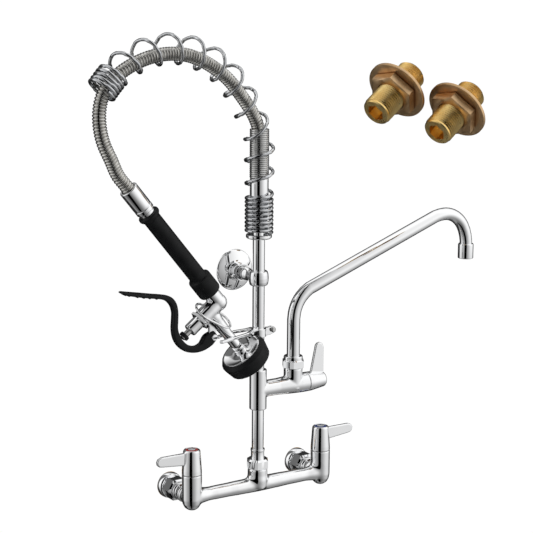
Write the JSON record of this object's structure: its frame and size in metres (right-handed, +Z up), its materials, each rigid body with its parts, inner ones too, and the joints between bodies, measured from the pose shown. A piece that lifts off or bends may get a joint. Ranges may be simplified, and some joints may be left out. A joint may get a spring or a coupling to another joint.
{
  "type": "pre rinse faucet",
  "caption": "Wall-mounted pre rinse faucet: mixing body with lever handles, riser with spring-hung hose and squeeze spray valve, and an add-on swing spout.",
  "frame": {"origin": "midway between the two inlets, on the wall's face, at the height of the inlets' centres", "axes": "+X along the mixing body from the hot valve to the cold valve, +Y into the wall, +Z up"},
  "size_m": [0.6084, 0.1489, 0.6299],
  "materials": {
    "chrome": "polished chrome plate",
    "stainless": "bright drawn stainless wire and strip",
    "brass": "machined yellow brass",
    "bronze": "dull brown bronze",
    "rubber": "satin black",
    "plastic": "moulded black",
    "white": "moulded off-white",
    "red": "moulded red",
    "blue": "moulded blue",
    "grey": "moulded grey"
  },
  "bodies": {
    "faucet": {"base_body": "chrome", "hot_coupling_nut": "chrome", "hot_wall_flange": "chrome", "hot_inlet_nipple": "brass", "hot_inlet_washer": "bronze", "hot_lock_nut": "bronze", "cold_coupling_nut": "chrome", "cold_wall_flange": "chrome", "cold_inlet_nipple": "brass", "cold_inlet_washer": "bronze", "cold_lock_nut": "bronze", "hot_cartridge": "brass", "cold_cartridge": "brass", "add_on_cartridge": "brass", "riser_union_nut": "chrome", "riser_tailpiece": "chrome", "lower_riser": "chrome", "add_on_body": "chrome", "spout_nut": "chrome", "upper_riser": "chrome", "bracket_clamp": "chrome", "bracket_arm_tube": "chrome", "bracket_flange": "chrome", "bracket_set_screw": "chrome", "spray_hook": "chrome", "hook_clamp_screw": "stainless", "spring_collar": "chrome", "hose_nut": "chrome", "hose_guard": "stainless", "overhead_spring": "stainless", "spray_hose": "stainless", "hose_ferrule": "chrome", "spray_grip": "rubber", "spray_valve_body": "chrome", "valve_bonnet": "chrome", "stem_return_spring": "stainless", "lever_pin": "chrome", "spray_bell": "chrome", "spray_face": "chrome", "bumper_ring": "rubber", "face_screw": "stainless"},
    "hot_handle": {"hot_handle": "chrome", "hot_spindle": "brass", "hot_handle_screw": "stainless", "hot_index_button": "red"},
    "cold_handle": {"cold_handle": "chrome", "cold_spindle": "brass", "cold_handle_screw": "stainless", "cold_index_button": "blue"},
    "add_on_handle": {"add_on_handle": "chrome", "add_on_spindle": "brass", "add_on_handle_screw": "stainless", "add_on_index_button": "grey"},
    "swing_spout": {"spout_tube": "chrome", "aerator_shell": "chrome", "aerator_screen": "white"},
    "squeeze_lever": {"squeeze_lever": "plastic"},
    "valve_stem": {"valve_stem": "stainless", "stem_cap_ring": "plastic"},
    "hold_down_ring": {"hold_down_ring": "chrome"}
  },
  "joints": [
    {"name": "hot_handle_turn", "type": "hinge", "parent": "faucet", "child": "hot_handle", "pos_m": [-0.1016, -0.062, 0.05], "axis": [0, 0, 1], "range_deg": [0, 90]},
    {"name": "cold_handle_turn", "type": "hinge", "parent": "faucet", "child": "cold_handle", "pos_m": [0.1016, -0.062, 0.05], "axis": [0, 0, 1], "range_deg": [-90, 0]},
    {"name": "add_on_handle_turn", "type": "hinge", "parent": "faucet", "child": "add_on_handle", "pos_m": [0.09, -0.062, 0.132], "axis": [1, 0, 0], "range_deg": [0, 90]},
    {"name": "spout_swing", "type": "hinge", "parent": "faucet", "child": "swing_spout", "pos_m": [0.0556, -0.062, 0.16], "axis": [0, 0, 1], "range_deg": [-150, 8]},
    {"name": "lever_squeeze", "type": "hinge", "parent": "faucet", "child": "squeeze_lever", "pos_m": [-0.08336, -0.08433, 0.21984], "axis": [0.0419, 0.9991, 0], "range_deg": [0, 7.5], "stiffness_Nm_per_rad": 1.5, "springref_deg": -8.59},
    {"name": "stem_press", "type": "slide", "parent": "faucet", "child": "valve_stem", "axis": [0.7781, -0.0326, 0.6273], "range_m": [0, 0.004], "deforming": ["stem_return_spring"]},
    {"name": "ring_tip", "type": "hinge", "parent": "faucet", "child": "hold_down_ring", "pos_m": [-0.08632, -0.08421, 0.25572], "axis": [0.0419, 0.9991, 0], "range_deg": [-2, 1]}
  ],
  "couplings": [
    {"joint": "stem_press", "follows": "lever_squeeze", "m_per_rad": 0.0298}
  ]
}
